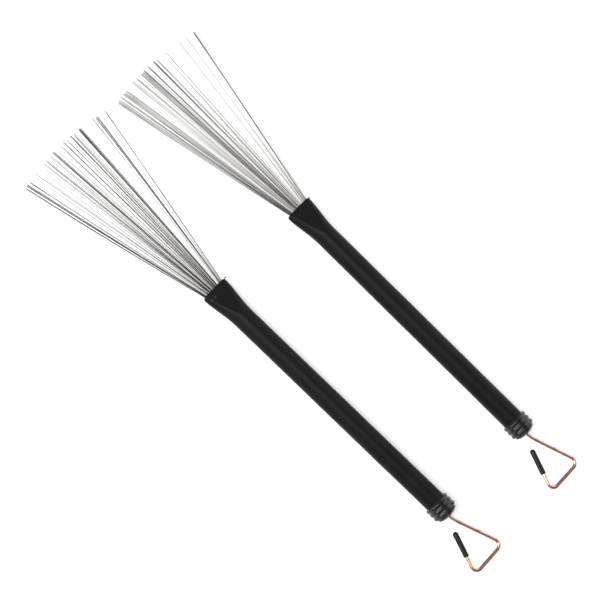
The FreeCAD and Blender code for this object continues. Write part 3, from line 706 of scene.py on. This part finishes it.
WIRE_RADIUS = 0.00015
WIRE_SIDES = 8
ROW_PITCH = 0.0004
ROWS = 4
ROOT_HALF = 0.0031
ROOT_ORDER = 0.4
SLOT_BACK = 0.0337
FERRULE_FRONT = 0.0188
FAN_APEX = 0.0334
FAN_REACH = 0.1639
FAN_BOW = 0.0005
TIP_RISE = 0.0013
# How the wires stray from true: angle in radians, the rest in metres.
STRAY_ANGLE = 0.0006
STRAY_RISE = 0.0003
STRAY_BOW = 0.0002
STRAY_LIFT = 0.00015

# Each bundle: where it points, from 1 at the fan's outer edge to -1 at the other, how many wires
# it holds, and how pale they are painted. The steel is the same in all, so this is painted light and
# shade.
BUNDLES = {
    "left": [
        (1.03, 3, 0.0), (0.975, 6, 0.0), (0.90, 3, 0.4), (0.77, 1, 0.1), (0.715, 3, 0.1),
        (0.61, 1, 0.3), (0.54, 1, 0.2), (0.485, 2, 0.1), (0.42, 3, 0.0), (0.36, 1, 0.4),
        (0.305, 2, 0.1), (0.23, 6, 0.0), (0.15, 1, 0.4), (0.05, 2, 0.1), (-0.03, 3, 0.0),
        (-0.095, 2, 0.1), (-0.15, 1, 0.4), (-0.20, 4, 0.1), (-0.26, 3, 0.1), (-0.32, 1, 0.4),
        (-0.40, 7, 0.1), (-0.70, 2, 0.2), (-0.77, 6, 0.1), (-0.86, 1, 0.4), (-0.96, 3, 0.1),
    ],
    "right": [
        (0.975, 4, 0.3), (0.93, 3, 0.4), (0.866, 3, 0.5), (0.78, 6, 0.3), (0.707, 3, 0.7),
        (0.58, 1, 0.9), (0.50, 4, 1.0), (0.405, 3, 1.0), (0.337, 1, 0.8), (0.274, 4, 0.5),
        (0.205, 5, 0.2), (0.14, 1, 0.9), (0.09, 4, 0.3), (0.0, 1, 1.0), (-0.055, 4, 0.3),
        (-0.13, 3, 1.0), (-0.225, 1, 0.9), (-0.285, 2, 0.5), (-0.348, 2, 0.7), (-0.457, 1, 1.0),
        (-0.67, 2, 0.4), (-0.75, 1, 1.0), (-0.827, 3, 1.0), (-0.90, 1, 1.0), (-1.015, 5, 0.2),
    ],
}
HALF_ANGLE = {"left": math.radians(12.5), "right": math.radians(12.1)}
BUNDLE_PITCH = math.radians(0.11)


def fan_angles(side, chance):
    """Every wire's angle to the brush's axis and how pale it is, in order across the fan."""
    wires = []
    for aim, count, pale in BUNDLES[side]:
        for k in range(count):
            spread = (k - (count - 1) / 2) * BUNDLE_PITCH
            angle = -aim * HALF_ANGLE[side] + spread + chance.gauss(0, STRAY_ANGLE)
            wires.append((angle, pale))
    return sorted(wires)


def wire_line(angle, rank, total, chance):
    """One wire's centre line: straight in the ferrule, then a slight bow out to its tip."""
    level = (rank % ROWS - (ROWS - 1) / 2) / ROWS
    order = 2 * (rank + 0.5) / total - 1
    place = ROOT_ORDER * order + (1 - ROOT_ORDER) * angle / HALF_ANGLE["left"]
    root = Vector((FERRULE_FRONT, place * ROOT_HALF, level * ROWS * ROW_PITCH))
    reach = FAN_REACH + chance.uniform(-0.0009, 0.0006)
    rise = 2 * level * TIP_RISE + chance.gauss(0, STRAY_RISE)
    tip = Vector((FAN_APEX - reach * math.cos(angle), reach * math.sin(angle), rise))
    bow = FAN_BOW * tip.y / (FAN_REACH * math.sin(HALF_ANGLE["left"])) + chance.gauss(0, STRAY_BOW)
    lift = chance.gauss(0, STRAY_LIFT)
    line = [Vector((SLOT_BACK, root.y, root.z))]
    for share in (0, 0.03, 0.08, 0.14, 0.22, 0.32, 0.44, 0.56, 0.68, 0.8, 0.91, 1):
        point = root.lerp(tip, share)
        arch = 4 * share * (1 - share)
        line.append(point + Vector((0, bow * arch, lift * arch)))
    return line


def fan_mesh(name, side, place):
    """All the wires of a fan in one mesh, each a closed bar with its own paleness: painted light and
    shade.
    """
    chance = random.Random(name)
    angles = fan_angles(side, chance)
    work = bmesh.new()
    tone_and_painted_light = work.verts.layers.float.new("tone_and_painted_light")
    for rank, (angle, pale) in enumerate(angles):
        line = wire_line(angle, rank, len(angles), chance)
        # Painted light and shade: the bundle's paleness, for how much light it catches, plus a random
        # spread per wire.
        shade = min(max(pale + chance.gauss(0, 0.1), 0), 1)
        rows = []
        for ring in bar_rings(line, WIRE_RADIUS, WIRE_SIDES):
            rows.append([work.verts.new(place @ point) for point in ring])
            for vertex in rows[-1]:
                vertex[tone_and_painted_light] = shade
        for before, after in zip(rows, rows[1:]):
            for k in range(WIRE_SIDES):
                following = (k + 1) % WIRE_SIDES
                corners = (before[k], before[following], after[following], after[k])
                work.faces.new(corners).smooth = True
        work.faces.new(rows[0])
        work.faces.new(list(reversed(rows[-1])))
    bmesh.ops.recalc_face_normals(work, faces=work.faces)
    mesh = bpy.data.meshes.new(name)
    work.to_mesh(mesh)
    work.free()
    piece = bpy.data.objects.new(name, mesh)
    bpy.context.scene.collection.objects.link(piece)
    return piece


def spring_wire():
    """Drawn steel with draw marks along it. Each wire is a little warmer, cooler or darker: painted
    light and shade set for each bundle, with a random spread for each wire.
    """
    material, tree, shader = new_finish("spring_wire")
    tone_and_painted_light = tree.nodes.new("ShaderNodeAttribute")
    tone_and_painted_light.attribute_name = "tone_and_painted_light"
    marks = grain(tree, placed(tree, (0.15, 1, 1)), 0.0012, 3)
    # Painted light and shade: each wire is set between a dark and a pale steel by its bundle's
    # painted paleness.
    tone = blended(tree, tone_and_painted_light.outputs["Fac"], (0.028, 0.024, 0.021), (0.19, 0.18, 0.17))
    worn = blended(tree, banded(tree, marks, 0.5, 0.85, 0, 0.25), tone, (0.25, 0.235, 0.22))
    tree.links.new(worn, shader.inputs["Base Color"])
    shader.inputs["Metallic"].default_value = 1.0
    tree.links.new(banded(tree, marks, 0.3, 0.7, 0.28, 0.42), shader.inputs["Roughness"])
    return material


steel = spring_wire()
for side in SIDES:
    fan = fan_mesh(f"{side}_fan", side, BRUSH[side])
    fan.data.materials.append(steel)
    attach(fan, f"{side}_core")
    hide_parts(f"{side}_wires")
    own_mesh(fan)

# ---------------------------------------------------------------- studio
# A pale table, a long soft light on the left brush's side, a broad one on the other, and a camera
# that looks almost straight down.

middle = (cad_box[0] + cad_box[1]) / 2
TABLE_SIZE = 3.0


def table_top():
    """A flat sheet of matt white board."""
    mesh = bpy.data.meshes.new("table_top")
    half = TABLE_SIZE / 2
    corners = [(-half, -half, 0), (half, -half, 0), (half, half, 0), (-half, half, 0)]
    mesh.from_pydata(corners, [], [(0, 1, 2, 3)])
    table = bpy.data.objects.new("table_top", mesh)
    bpy.context.scene.collection.objects.link(table)
    material, tree, shader = new_finish("table_white")
    fleck = grain(tree, placed(tree), 0.02, 2)
    tree.links.new(blended(tree, fleck, (0.90, 0.90, 0.90), (0.92, 0.92, 0.92)),
                   shader.inputs["Base Color"])
    shader.inputs["Roughness"].default_value = 0.9
    shader.inputs["Specular IOR Level"].default_value = 0.1
    table.data.materials.append(material)


table_top()


def soft_light(name, place, size, power):
    """A soft box, placed from the pair's middle, that faces it."""
    lamp = bpy.data.lights.new(name, "AREA")
    lamp.shape = "RECTANGLE"
    lamp.size, lamp.size_y = size
    lamp.energy = power
    thing = bpy.data.objects.new(name, lamp)
    thing.location = middle + Vector(place)
    thing.rotation_mode = "QUATERNION"
    thing.rotation_quaternion = (-Vector(place)).to_track_quat("-Z", "Y")
    bpy.context.scene.collection.objects.link(thing)


soft_light("key_light", (0.35, 0.80, 0.95), (0.6, 1.9), 33)
soft_light("fill_light", (0.0, -1.02, 0.55), (2.2, 1.2), 17)

world = bpy.data.worlds.new("studio")
world.use_nodes = True
sky = next(n for n in world.node_tree.nodes if n.type == "BACKGROUND")
sky.inputs["Color"].default_value = (1, 1, 1, 1)
sky.inputs["Strength"].default_value = 0.42
bpy.context.scene.world = world
bpy.context.scene.view_settings.view_transform = "Standard"

CAMERA_DISTANCE = 1.0
CAMERA_TILT = math.radians(13.75)
CAMERA_SWING = math.radians(1.9)
CAMERA_TURN = math.radians(44.36)
CAMERA_LENS = 95.7
AIM = Vector((0.0127, 0.0046, 0.007))


def studio_camera():
    """Looks down, leaning to the left brush's side, with the wires towards the upper left."""
    lens = bpy.data.cameras.new("studio_camera")
    lens.lens = CAMERA_LENS
    lens.sensor_width = 36
    lens.clip_start, lens.clip_end = 0.01, 20
    camera = bpy.data.objects.new("studio_camera", lens)
    bpy.context.scene.collection.objects.link(camera)
    lean = Vector((math.sin(CAMERA_SWING), math.cos(CAMERA_SWING), 0))
    toward = lean * math.sin(CAMERA_TILT) + Vector((0, 0, math.cos(CAMERA_TILT)))
    beside = toward.cross(Vector((1, 0, 0))).normalized()
    along = beside.cross(toward)
    right = -along * math.cos(CAMERA_TURN) - beside * math.sin(CAMERA_TURN)
    up = along * math.sin(CAMERA_TURN) - beside * math.cos(CAMERA_TURN)
    turned = Matrix((right, up, toward)).transposed().to_4x4()
    camera.matrix_world = Matrix.Translation(AIM + toward * CAMERA_DISTANCE) @ turned
    bpy.context.scene.camera = camera


studio_camera()
bpy.context.view_layer.update()
